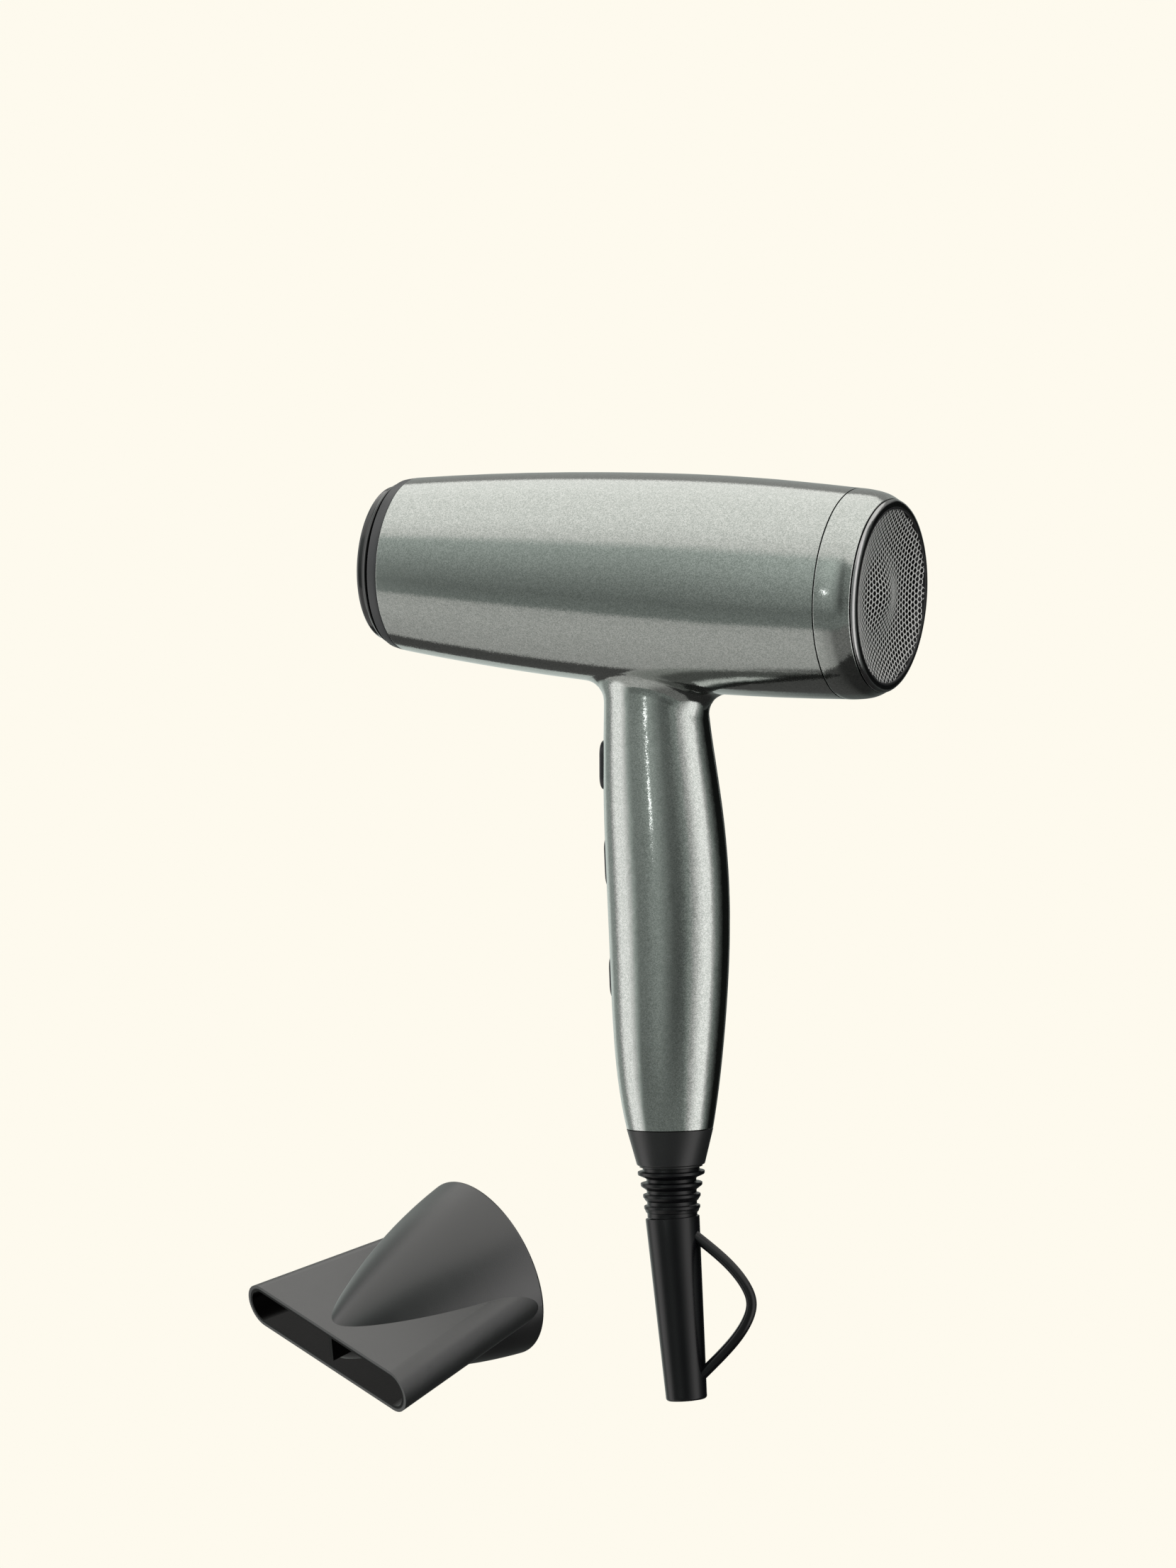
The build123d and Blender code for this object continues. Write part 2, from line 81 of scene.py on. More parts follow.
def nozzle_frame():
    """X along the slot, Z the way the air flows, origin in the middle of the collar's rim."""
    along = SLOT_WAY.normalized()
    out = (FLOW_WAY - along * FLOW_WAY.dot(along)).normalized()
    turn = Matrix((along, out.cross(along), out)).transposed().to_4x4()
    return Matrix.Translation(NOZZLE_CENTRE) @ turn


NOZZLE = nozzle_frame()


# ------------------------------------------------------------------ sizes and colours
def colour(name, description, default):
    return bpy.props.FloatVectorProperty(name=name, description=description, default=default,
                                         subtype="COLOR", size=3, min=0, max=1)


def length_mm(name, description, default):
    return bpy.props.FloatProperty(name=name, description=description + ", in millimetres",
                                   default=default, min=0.01, max=500, precision=3)


def angle(name, description, degrees):
    return bpy.props.FloatProperty(name=name, description=description, default=math.radians(degrees),
                                   subtype="ANGLE", unit="ROTATION")


class HairDryerFinishes(bpy.types.PropertyGroup):
    """Colours and grain of the visible finishes"""
    paint: colour("Paint", "Metallic paint of the barrel and handle", (0.55, 0.57, 0.55))
    paint_deep: colour("Paint shade", "Darker flakes in the paint", (0.31, 0.335, 0.315))
    flake: length_mm("Flake", "Width of a paint flake", 0.27)
    trim: colour("Trim", "Satin black trim", (0.013, 0.013, 0.014))
    band: colour("Band", "Charcoal band round the outlet", (0.055, 0.056, 0.060))
    rubber: colour("Relief", "Strain relief and sleeve", (0.004, 0.004, 0.005))
    nozzle: colour("Nozzle", "Matt charcoal of the nozzle", (0.011, 0.0112, 0.012))
    nozzle_grain: length_mm("Nozzle grain", "Grain of the nozzle's moulded texture", 0.35)
    steel: colour("Mesh", "Bright steel of the intake mesh", (0.78, 0.78, 0.77))
    bezel: colour("Bezel", "Polished dark metal of the bezel ring", (0.40, 0.40, 0.40))


class HairDryerSizes(bpy.types.PropertyGroup):
    """Sizes of the finer pieces"""
    cell: length_mm("Mesh cell", "Distance between neighbouring openings of the intake mesh", 1.92)
    strand: length_mm("Mesh strand", "Width of a strand of the intake mesh", 0.27)
    strand_depth: length_mm("Mesh depth", "Thickness of the intake mesh", 0.22)
    edge: length_mm("Edge", "Rounding of the visible moulded edges", 0.45)
    loop: length_mm("Loop strand", "Thickness of the hanging loop", 3.75)


class HairDryerStudio(bpy.types.PropertyGroup):
    """Camera, floor and light"""
    azimuth: angle("Azimuth", "Where the camera stands round the object", 24.86)
    elevation: angle("Elevation", "How far the camera looks down", 4.67)
    roll: angle("Roll", "How far the camera is turned about its own axis", 2.43)
    distance: bpy.props.FloatProperty(name="Distance", unit="LENGTH", default=2.387,
                                      description="From the camera to the point it looks at")
    lens: bpy.props.FloatProperty(name="Focal length", description="Lens of the camera, in millimetres",
                                  default=162.75)
    floor: colour("Floor", "Cream of the floor and its sweep", (0.991, 0.956, 0.855))
    light: bpy.props.FloatProperty(name="Light", description="Strength of the studio light",
                                   default=1.0, min=0)


# ------------------------------------------------------------------ mesh helpers
def new_piece(name, bm, place, body, slot, replaces=()):
    """Turn a bmesh in millimetres into a finished object in the row's frame."""
    bmesh.ops.transform(bm, matrix=TO_METRES @ place, verts=bm.verts)
    bm.normal_update()
    for edge in bm.edges:
        edge.smooth = edge.is_manifold and edge.calc_face_angle(0) < SHARP
    for face in bm.faces:
        face.smooth = True
    mesh = bpy.data.meshes.new(name)
    bm.to_mesh(mesh)
    bm.free()
    piece = bpy.data.objects.new(name, mesh)
    bpy.context.scene.collection.objects.link(piece)
    if body:
        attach(piece, body)
    if replaces:
        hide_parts(*replaces)
    piece.data.materials.append(finish(slot))
    return piece


def outline_ring(bm, points, closed=True):
    """Vertices joined in order by edges; returns both, for a spin."""
    verts = [bm.verts.new(p) for p in points]
    pairs = list(zip(verts, verts[1:]))
    if closed:
        pairs.append((verts[-1], verts[0]))
    return verts + [bm.edges.new(pair) for pair in pairs]


def turned(profile, segments=144, closed=True):
    """Spin a profile of (radius, height) about +Z into a closed bmesh."""
    bm = bmesh.new()
    geom = outline_ring(bm, [(r, 0, z) for r, z in profile], closed)
    bmesh.ops.spin(bm, geom=geom, cent=(0, 0, 0), axis=(0, 0, 1), angle=math.tau, steps=segments,
                   use_merge=True, use_duplicate=False)
    bmesh.ops.remove_doubles(bm, verts=bm.verts, dist=1e-4)
    bmesh.ops.recalc_face_normals(bm, faces=bm.faces)
    return bm


def round_edges(bm, width, pick):
    """Bevel the edges that the test picks."""
    bm.normal_update()
    edges = [e for e in bm.edges if e.is_manifold and pick(e)]
    bmesh.ops.bevel(bm, geom=edges, offset=width, offset_type="OFFSET", affect="EDGES",
                    segments=3, profile=0.5, material=-1, clamp_overlap=True)
    bm.normal_update()


def arc(centre, radius, start, stop, steps):
    """Points of an arc in a profile's plane; angles in degrees, 0 pointing away from the axis."""
    turn = [math.radians(start + (stop - start) * k / steps) for k in range(steps + 1)]
    return [(centre[0] + radius * math.cos(a), centre[1] + radius * math.sin(a)) for a in turn]


def smooth_line(points, steps):
    """A Catmull-Rom line through the points."""
    ends = [Vector(points[0]) * 2 - Vector(points[1])] + [Vector(p) for p in points]
    ends.append(Vector(points[-1]) * 2 - Vector(points[-2]))
    line = []
    for a, b, c, d in zip(ends, ends[1:], ends[2:], ends[3:]):
        for k in range(steps):
            t = k / steps
            line.append(0.5 * ((2 * b) + (c - a) * t + (2 * a - 5 * b + 4 * c - d) * t * t
                               + (3 * b - a - 3 * c + d) * t ** 3))
    return line + [Vector(points[-1])]


# ------------------------------------------------------------------ material helpers
class Tree:
    """Short names for building a node tree."""

    def __init__(self, tree):
        self.tree = tree
        tree.nodes.clear()

    def add(self, kind, **values):
        node = self.tree.nodes.new(kind)
        for key, value in values.items():
            if hasattr(node, key):
                setattr(node, key, value)
            else:
                node.inputs[key.replace("_", " ")].default_value = value
        return node

    def link(self, source, target):
        self.tree.links.new(source, target)

    def put(self, value, target):
        """Link a socket, or set a constant."""
        if isinstance(value, bpy.types.NodeSocket):
            self.link(value, target)
        else:
            target.default_value = value

    def math(self, operation, *values):
        node = self.add("ShaderNodeMath", operation=operation)
        for socket, value in zip(node.inputs, values):
            self.put(value, socket)
        return node.outputs[0]

    def times(self, a, b):
        return self.math("MULTIPLY", a, b)

    def vector(self, operation, *values):
        node = self.add("ShaderNodeVectorMath", operation=operation)
        for socket, value in zip(node.inputs, values):
            self.put(value, socket)
        return node.outputs["Value" if operation == "DOT_PRODUCT" else "Vector"]

    def scale(self, value, factor):
        node = self.add("ShaderNodeVectorMath", operation="SCALE")
        self.link(value, node.inputs[0])
        self.put(factor, node.inputs["Scale"])
        return node.outputs[0]

    def remap(self, value, low, high, to_low=0.0, to_high=1.0, smooth=False):
        node = self.add("ShaderNodeMapRange", interpolation_type="SMOOTHSTEP" if smooth else "LINEAR")
        self.link(value, node.inputs["Value"])
        for socket, number in zip(node.inputs[1:5], (low, high, to_low, to_high)):
            socket.default_value = number
        return node.outputs["Result"]

    def noise(self, where, size, detail=2.0, roughness=0.5):
        node = self.add("ShaderNodeTexNoise")
        node.inputs["Scale"].default_value = 1 / (size * MM)
        node.inputs["Detail"].default_value = detail
        node.inputs["Roughness"].default_value = roughness
        self.link(where, node.inputs["Vector"])
        return node.outputs["Fac"]

    def mix(self, factor, a, b, blend="MIX"):
        node = self.add("ShaderNodeMix", data_type="RGBA", blend_type=blend)
        self.put(factor, node.inputs[0])
        for socket, value in zip(node.inputs[6:8], (a, b)):
            self.put(value if isinstance(value, bpy.types.NodeSocket) else (*value[:3], 1), socket)
        return node.outputs[2]

    def bump(self, height, strength, distance):
        node = self.add("ShaderNodeBump")
        node.inputs["Strength"].default_value = strength
        node.inputs["Distance"].default_value = distance * MM
        self.link(height, node.inputs["Height"])
        return node.outputs["Normal"]


def shade(rgb, factor):
    """The colour made darker or lighter."""
    return tuple(min(1.0, c * factor) for c in rgb)


def start_material(name, **sockets):
    """A new material with its principled shader wired to the output."""
    material = bpy.data.materials.new(name)
    material.use_nodes = True
    tree = Tree(material.node_tree)
    shader = tree.add("ShaderNodeBsdfPrincipled")
    for key, value in sockets.items():
        shader.inputs[key.replace("_", " ")].default_value = value
    output = tree.add("ShaderNodeOutputMaterial")
    tree.link(shader.outputs["BSDF"], output.inputs["Surface"])
    where = tree.add("ShaderNodeTexCoord").outputs["Object"]
    return material, tree, shader, where


FLAKE_LEAN = 0.035  # how far a paint flake leans out of the surface


def flake_paint(name, light, deep, flake):
    """Metallic flakes, each with its own tone, gloss and lean, under a clear gloss coat."""
    material, tree, shader, where = start_material(
        name, Metallic=1.0, Coat_Weight=0.45, Coat_Roughness=0.04, Coat_IOR=1.5)
    cells = tree.add("ShaderNodeTexVoronoi", feature="F1")
    cells.inputs["Scale"].default_value = 1 / (flake * MM)
    tree.link(where, cells.inputs["Vector"])
    own = cells.outputs["Color"]
    split = tree.add("ShaderNodeSeparateColor")
    tree.link(own, split.inputs[0])
    cloud = tree.remap(tree.noise(where, 1.3, 3.0), 0.3, 0.7, 0.85, 1.15)
    tree.link(tree.mix(tree.times(split.outputs[0], cloud), deep, light), shader.inputs["Base Color"])
    tree.link(tree.remap(split.outputs[1], 0, 1, 0.06, 0.13), shader.inputs["Roughness"])
    lean = tree.scale(tree.vector("SUBTRACT", own, (0.5, 0.5, 0.5)), FLAKE_LEAN)
    normal = tree.add("ShaderNodeNewGeometry").outputs["Normal"]
    tree.link(tree.vector("NORMALIZE", tree.vector("ADD", normal, lean)), shader.inputs["Normal"])
    return material


# near-black painted shade for the nozzle's deep inside
PAINTED_SHADE_BLACK = (0.001, 0.001, 0.001)
SHELL_INSIDE = 29.6  # radius inside the nozzle's round shell, at the collar
SHELL_FALL, SHELL_CURVE = 0.155, 0.0035  # how that radius closes in along the nozzle
DUCT_HALF, DUCT_FLARE = 22.3, 0.172  # half the flat width of the duct, and how it widens
DUCT_WALL = (6.45, 6.15)  # where the duct's wall ends and its inside starts, half height
PAINTED_SHADE_DEPTH = (14.0, 38.0)  # where the painted shade starts and is full, along the nozzle


def nozzle_painted_shade(tree, where):
    """Painted shade: 1 on the surfaces deep inside the nozzle, where shade falls, 0 outside it and near its
    collar.
    """
    place = tree.vector("SUBTRACT", where, NOZZLE.translation * MM)
    across, high, along = [tree.vector("DOT_PRODUCT", place, NOZZLE.col[k].xyz / MM) for k in range(3)]
    # inside the round shell, whose wall closes in along a curve
    square = tree.math("ADD", tree.times(across, across), tree.times(high, high))
    fall = tree.times(along, tree.math("ADD", SHELL_FALL, tree.times(along, SHELL_CURVE)))
    shell = tree.math("SUBTRACT", SHELL_INSIDE, fall)
    in_shell = tree.remap(tree.math("SUBTRACT", shell, tree.math("SQRT", square)), 0.0, 0.3)
    # inside the flat duct, whose section is a stadium that widens
    flat = tree.math("ADD", DUCT_HALF, tree.times(along, DUCT_FLARE))
    past = tree.math("MAXIMUM", tree.math("SUBTRACT", tree.math("ABSOLUTE", across), flat), 0.0)
    corner = tree.math("ADD", tree.times(past, past), tree.times(high, high))
    in_duct = tree.remap(tree.math("SQRT", corner), *DUCT_WALL)
    inside = tree.math("MAXIMUM", in_shell, in_duct)
    return tree.times(inside, tree.remap(along, *PAINTED_SHADE_DEPTH, smooth=True))


def moulded(name, rgb, rough, grain, bump, spread=0.12, mottle=9.0, shadow=None, **sockets):
    """Moulded or cast stuff: fine grain in the height, slow changes in tone and roughness; a shadow mask
    paints near-black shade where it is high.
    """
    material, tree, shader, where = start_material(name, **sockets)
    fine = tree.noise(where, grain, 3.0, 0.6)
    slow = tree.noise(where, mottle, 2.0)
    both = tree.math("ADD", *(tree.remap(part, 0.3, 0.7, to_high=0.5) for part in (fine, slow)))
    base = tree.mix(both, shade(rgb, 1 - spread), shade(rgb, 1 + spread))
    if shadow:
        # painted shade: the base turns near-black and fully metallic where the mask is high
        depth = shadow(tree, where)
        base = tree.mix(depth, base, PAINTED_SHADE_BLACK)
        tree.link(depth, shader.inputs["Metallic"])
    tree.link(base, shader.inputs["Base Color"])
    tree.link(tree.remap(both, 0, 1, rough * 0.88, rough * 1.12), shader.inputs["Roughness"])
    tree.link(tree.bump(fine, bump, grain * 0.3), shader.inputs["Normal"])
    return material


def drawn_metal(name, rgb, rough, size, stretch=(1, 1, 12), **sockets):
    """Metal with fine lines left by drawing or brushing; an even stretch leaves a fine grain instead."""
    material, tree, shader, where = start_material(name, **{"Metallic": 1.0, **sockets})
    mapping = tree.add("ShaderNodeMapping")
    mapping.inputs["Scale"].default_value = stretch
    tree.link(where, mapping.inputs["Vector"])
    lines = tree.noise(mapping.outputs[0], size, 3.0, 0.6)
    tree.link(tree.mix(lines, shade(rgb, 0.8), shade(rgb, 1.15)), shader.inputs["Base Color"])
    tree.link(tree.remap(lines, 0.3, 0.7, rough * 0.75, rough * 1.3), shader.inputs["Roughness"])
    tree.link(tree.bump(lines, 0.15, size * 0.1), shader.inputs["Normal"])
    return material


EVEN = (1, 1, 1)  # a stretch that changes nothing


def finish(slot):
    """The material of one of the record's slots, or of the filter's near-black painted shade, made once."""
    if slot in bpy.data.materials and bpy.data.materials[slot].get("built"):
        return bpy.data.materials[slot]
    old = bpy.data.materials.get(slot)
    if old:
        old.name = slot + "_cad"
    f = bpy.context.scene.hair_dryer_finishes
    makers = {
        "paint": lambda n: flake_paint(n, f.paint, f.paint_deep, f.flake),
        "charcoal": lambda n: moulded(n, f.band, 0.42, 0.25, 0.12),
        "gloss_black": lambda n: moulded(n, (0.008, 0.008, 0.009), 0.09, 0.9, 0.02, Coat_Weight=0.5),
        "gunmetal": lambda n: drawn_metal(n, f.bezel, 0.13, 2.5, EVEN),
        "steel_mesh": lambda n: drawn_metal(n, f.steel, 0.34, 0.5, EVEN, Metallic=0.45),
        "black_trim": lambda n: moulded(n, f.trim, 0.34, 0.30, 0.10),
        # near-black and barely reflecting: painted shade behind the intake mesh
        "filter_painted_shade": lambda n: moulded(n, (0.002, 0.002, 0.002), 0.8, 0.6, 0.2,
                                          Specular_IOR_Level=0.1),
        "button_black": lambda n: moulded(n, (0.016, 0.016, 0.018), 0.34, 0.25, 0.12),
        "relief_black": lambda n: moulded(n, f.rubber, 0.24, 0.5, 0.06, Specular_IOR_Level=0.36),
        # the nozzle's deep inside is darkened with painted shade
        "nozzle_charcoal": lambda n: moulded(n, f.nozzle, 0.33, f.nozzle_grain, 0.20,
                                             shadow=nozzle_painted_shade, Specular_IOR_Level=1.0),
        "mica": lambda n: moulded(n, (0.50, 0.40, 0.26), 0.45, 1.2, 0.2, 0.3, 4.0),
        "resistance_wire": lambda n: drawn_metal(n, (0.36, 0.33, 0.31), 0.4, 0.4),
        "steel": lambda n: drawn_metal(n, (0.55, 0.55, 0.57), 0.25, 0.8),
        "zinc_plate": lambda n: moulded(n, (0.52, 0.53, 0.56), 0.35, 0.8, 0.2, 0.2, 3.0, Metallic=0.9),
        "duct_plastic": lambda n: moulded(n, (0.09, 0.09, 0.10), 0.5, 0.4, 0.2, 0.2),
        "seal_rubber": lambda n: moulded(n, (0.02, 0.02, 0.02), 0.75, 0.6, 0.3),
        "board_green": lambda n: moulded(n, (0.03, 0.16, 0.07), 0.3, 1.5, 0.25, 0.35, 3.0),
        "component": lambda n: moulded(n, (0.05, 0.05, 0.055), 0.4, 0.5, 0.2),
        "module_white": lambda n: moulded(n, (0.68, 0.67, 0.63), 0.5, 0.7, 0.2, 0.08),
        "ceramic_white": lambda n: moulded(n, (0.75, 0.72, 0.66), 0.35, 0.5, 0.2, 0.08),
        "copper": lambda n: drawn_metal(n, (0.60, 0.28, 0.14), 0.3, 0.4, (12, 1, 1)),
        "wire_sleeve": lambda n: moulded(n, (0.42, 0.06, 0.04), 0.45, 0.6, 0.15),
    }
    material = makers[slot](slot)
    material["built"] = True
    return material


# ------------------------------------------------------------------ operators
FILTER_NODES = ("filter_mesh", "filter_frame")  # the real filter, coloured near-black as painted shade behind the intake mesh


class HAIRDRYER_OT_frame_finishes(bpy.types.Operator):
    """Give every carried CAD piece its finish"""
    bl_idname = "hairdryer.frame_finishes"
    bl_label = "Frame finishes"

    def execute(self, context):
        slots = {row["node"]: row["material_slot"] for row in frame["record"]["subparts"]}
        for name, node in frame["nodes"].items():
            # the filter gets near-black painted shade in place of its own finish
            slot = "filter_painted_shade" if name in FILTER_NODES else slots[name]
            node.data.materials.clear()
            node.data.materials.append(finish(slot))
            if slot == "nozzle_charcoal":
                node.visible_glossy = False  # the loose nozzle isn't mirrored in the paint
        return {"FINISHED"}


class HAIRDRYER_OT_outlet(bpy.types.Operator):
    """Charcoal band, dark groove and glossy lip ring of the outlet"""
    bl_idname = "hairdryer.outlet"
    bl_label = "Outlet rings"

    def execute(self, context):
        # rows are (radius, height); heights run to the rear along the barrel
        front, rear, seat = -103.7, -100.1, -93.0
        bore, wall = 25.6, 27.3
        profile = [(28.4, front), *arc((28.45, front + 0.28), 0.3, -70, -8, 4), (28.98, front + 1.2),
                   (29.22, front + 2.4), *arc((29.1, rear - 0.28), 0.28, 0, 80, 4),
                   (wall, rear), (wall, seat), (bore, seat), (bore, front)]
        new_piece("outlet_collar", turned(profile), BARREL, "dryer", "charcoal", ("outlet_band",))
        edge = -99.82
        profile = [(29.1, edge), (29.1, edge - 0.22), *arc((29.24, edge), 0.24, -90, 0, 5)]
        new_piece("shell_edge", turned(profile), BARREL, "dryer", "paint")
        lip, root = -109.2, -101.0
        bore, wall = 23.6, 25.5
        profile = [(bore, lip + 0.5), *arc((25.0, lip + 1.3), 1.3, -125, -5, 9), (26.3, lip + 1.8),
                   (26.32, lip + 2.35), (26.75, lip + 2.8), (27.2, lip + 3.2), (27.55, lip + 3.6),
                   *arc((27.45, lip + 4.1), 0.3, -20, 90, 5), (wall, lip + 4.45), (wall, root), (bore, root)]
        new_piece("outlet_lip", turned(profile), BARREL, "dryer", "gloss_black", ("outlet_lip_ring",))
        return {"FINISHED"}


class HAIRDRYER_OT_rear_rings(bpy.types.Operator):
    """Painted rear cap and polished bezel, with rounded edges at their seams"""
    bl_idname = "hairdryer.rear_rings"
    bl_label = "Rear cap and bezel"

    def execute(self, context):
        # rows are (radius, height); heights run to the rear along the barrel
        seam, bezel_seam, tongue, step = 62.45, 74.1, 57.5, 70.5
        shell = [(35.0, seam), (34.93, 64.2), (34.7, 66.6), (34.27, 69.3), (33.55, 71.6), (32.1, bezel_seam)]
        outer = [(p.x, p.y) for p in smooth_line(shell, 8)]
        bm = turned(outer + [(29.6, bezel_seam), (29.6, step), (31.0, step), (31.9, tongue),
                             (32.5, tongue), (32.5, seam)])
        round_edges(bm, context.scene.hair_dryer_sizes.edge * 0.8, seen_rim)
        new_piece("rear_cap_shell", bm, BARREL, "rear_cap", "paint", ("rear_cap",))
        profile = [(28.9, 71.6), (29.5, 71.6), (29.5, 74.45), (31.75, 74.45),
                   *arc((31.7, 74.7), 0.25, -90, 20, 4), (31.8, 75.0), (31.45, 75.4), (30.9, 75.7),
                   (30.2, 75.88), (29.7, 75.9), (29.3, 75.8), (29.05, 75.5), (28.9, 75.0)]
        new_piece("bezel_trim", turned(profile), BARREL, "rear_cap", "gunmetal", ("bezel_ring",))
        profile = [(27.4, 71.8), (28.82, 71.8), (28.84, 75.05), (28.98, 75.55), (29.26, 75.86),
                   (29.5, 75.95), (29.45, 76.0), (29.1, 75.98), (28.85, 75.82), (28.72, 75.5),
                   (28.6, 74.2), (27.4, 73.6)]
        new_piece("mesh_rim", turned(profile), BARREL, "rear_cap", "black_trim", ("grille_retainer",))
        return {"FINISHED"}


def seen_rim(edge):
    """True for the sharp edges that run round the outside of the rear cap."""
    outside, fold, level = 32.05, 0.6, 1e-3
    return (min(v.co.xy.length for v in edge.verts) > outside and edge.calc_face_angle(0) > fold
            and abs(edge.verts[0].co.z - edge.verts[1].co.z) < level)


class HAIRDRYER_OT_intake_mesh(bpy.types.Operator):
    """Dished intake mesh of small six-sided openings"""
    bl_idname = "hairdryer.intake_mesh"
    bl_label = "Intake mesh"

    def execute(self, context):
        sizes = context.scene.hair_dryer_sizes
        pitch, strand, depth = sizes.cell, sizes.strand, sizes.strand_depth
        reach, rim, ridge_height = 28.4, 28.75, 0.07
        dish_end = 28.7
        bm = bmesh.new()
        column_step = pitch * math.sqrt(3) / 2
        columns = int(rim / column_step) + 1
        rows = int(rim / pitch) + 1
        for column in range(-columns, columns + 1):
            for row in range(-rows, rows + 1):
                x = pitch * (row + (column % 2) / 2)
                y = column_step * column
                if math.hypot(x, y) < reach:
                    place = Matrix.Translation((x, y, 0)) @ Matrix.Rotation(math.radians(30), 4, "Z")
                    bmesh.ops.create_circle(bm, cap_ends=True, segments=6, radius=pitch / math.sqrt(3),
                                            matrix=place)
        bmesh.ops.remove_doubles(bm, verts=bm.verts, dist=0.05)
        cells = list(bm.faces)
        ridge = list(bm.verts)
        bmesh.ops.inset_individual(bm, faces=cells, thickness=strand / 2, depth=0, use_even_offset=True)
        bmesh.ops.delete(bm, geom=cells, context="FACES_KEEP_BOUNDARY")
        bmesh.ops.translate(bm, vec=(0, 0, ridge_height), verts=ridge)
        bmesh.ops.recalc_face_normals(bm, faces=bm.faces)
        if sum(f.normal.z for f in bm.faces) < 0:
            bmesh.ops.reverse_faces(bm, faces=bm.faces)
        bmesh.ops.solidify(bm, geom=bm.faces, thickness=depth)
        bmesh.ops.recalc_face_normals(bm, faces=bm.faces)
        dish = smooth_line([(0, 75.1), (3, 74.75), (6, 73.9), (10.5, 72.7), (15, 72.2), (22, 73.5),
                            (28.8, 75.6)], 12)
        for v in bm.verts:
            radius = min(v.co.xy.length, dish_end)
            k = next(i for i in range(len(dish) - 1) if dish[i + 1].x >= radius)
            low, high = dish[k], dish[k + 1]
            v.co.z += low.y + (high.y - low.y) * (radius - low.x) / (high.x - low.x) - depth / 2
        for v in bm.verts:
            if v.co.xy.length > rim:
                v.co.xy *= rim / v.co.xy.length
        new_piece("intake_mesh", bm, BARREL, "rear_cap", "steel_mesh", ("intake_grille",))
        return {"FINISHED"}


class HAIRDRYER_OT_strain_relief(bpy.types.Operator):
    """Ribbed relief, tapered sleeve and hanging loop"""
    bl_idname = "hairdryer.strain_relief"
    bl_label = "Strain relief"

    def execute(self, context):
        # rows are (radius, height) along the handle; each flange falls off to the core
        inner, mouth = 4.0, -80.0
        ribs = [(6.2, mouth), (6.4, -84.4), (9.5, -84.4), (9.6, -84.6), (9.6, -85.7)]
        flanges = (11.3, 10.4, 9.7, 9.45)
        top, pitch, core, foot = -85.9, 3.85, 8.4, -101.35
        for k, radius in enumerate(flanges):
            z = top - pitch * k
            ribs += [(radius - 0.25, z), (radius - 0.05, z - 0.1), (radius, z - 0.35),
                     (radius - 0.03, z - 0.95), (radius - 0.25, z - 1.25), (core + 0.45, z - 2.2),
                     (core + 0.1, z - 2.45)]
            if k < len(flanges) - 1:
                ribs += [(core, z - 2.75), (core, z - pitch + 0.3), (core + 0.3, z - pitch)]
        ribs += [(core, -100.4), (core, foot), (inner, foot), (inner, mouth)]
        axis = GRIP @ Matrix.Translation((RELIEF_X, 0, 0))
        piece = new_piece("relief_bellows", turned(ribs, 96), axis, None, "relief_black", ("relief_ribs",))
        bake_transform(piece)

        length, top_r, end_r = 61.8, 9.1, 6.9
        profile = [(0, -0.05), (top_r - 0.3, -0.05), (top_r - 0.05, -0.2), (top_r, -0.5)]
        profile += [(top_r + (end_r - top_r) * t, -length * t) for t in (0.15, 0.3, 0.45, 0.6, 0.75, 0.9)]
        profile += [(end_r + 0.05, 1.6 - length), *arc((end_r - 1.0, 1.0 - length), 1.05, 0, -90, 6)]
        profile += [(4.4, -length - 0.15), (0, -length - 0.55)]
        new_piece("cord_sleeve", turned(profile, 96, closed=False), RELIEF, "sleeve", "relief_black",
                  ("relief_sleeve",))
        loop_piece(context.scene.hair_dryer_sizes.loop)
        return {"FINISHED"}


def loop_piece(thick):
    """A ridged strand swept along the bow of the hanging loop, behind the sleeve."""
    route = [(6.0, -5.3), (12.8, -10.7), (20.7, -17.3), (26.8, -26.6), (26.8, -32.8), (21.0, -41.4),
             (13.0, -48.2), (5.6, -54.2)]
    ridge, ridge_width, ridge_from, flat = 0.10, 0.35, 0.8, 0.93  # in parts of the strand's radius
    curve = bpy.data.curves.new("loop_route", "CURVE")
    curve.dimensions = "3D"
    spline = curve.splines.new("NURBS")
    spline.points.add(len(route) - 1)
    for point, (x, z) in zip(spline.points, route):
        point.co = (x, 0, z, 1)
    spline.use_endpoint_u = True
    spline.order_u = 4
    spline.resolution_u = 12
    section = bpy.data.curves.new("loop_section", "CURVE")
    section.dimensions = "2D"
    ring = section.splines.new("POLY")
    r = thick / 2
    corners = 24
    outline = [(r * math.cos(a), r * math.sin(a)) for a in (math.tau * k / corners for k in range(corners))]
    ring.points.add(len(outline) - 1)
    for point, (x, y) in zip(ring.points, outline):
        crest = 1.0 + ridge * max(0.0, 1 - abs(x) / (ridge_width * r)) * (abs(y) > ridge_from * r)
        point.co = (x, y * crest * flat, 0, 1)
    ring.use_cyclic_u = True
    section_object = bpy.data.objects.new("loop_section", section)
    curve.bevel_mode = "OBJECT"
    curve.bevel_object = section_object
    curve.use_fill_caps = True
    carrier = bpy.data.objects.new("loop_route", curve)
    bpy.context.scene.collection.objects.link(section_object)
    bpy.context.scene.collection.objects.link(carrier)
    bpy.context.view_layer.update()
    mesh = bpy.data.meshes.new_from_object(carrier.evaluated_get(bpy.context.evaluated_depsgraph_get()))
    for made in (carrier, section_object):
        bpy.data.objects.remove(made)
    bm = bmesh.new()
    bm.from_mesh(mesh)
    bmesh.ops.remove_doubles(bm, verts=bm.verts, dist=0.01)
    bmesh.ops.recalc_face_normals(bm, faces=bm.faces)
    new_piece("hook_loop", bm, RELIEF, "sleeve", "relief_black", ("hanging_loop",))


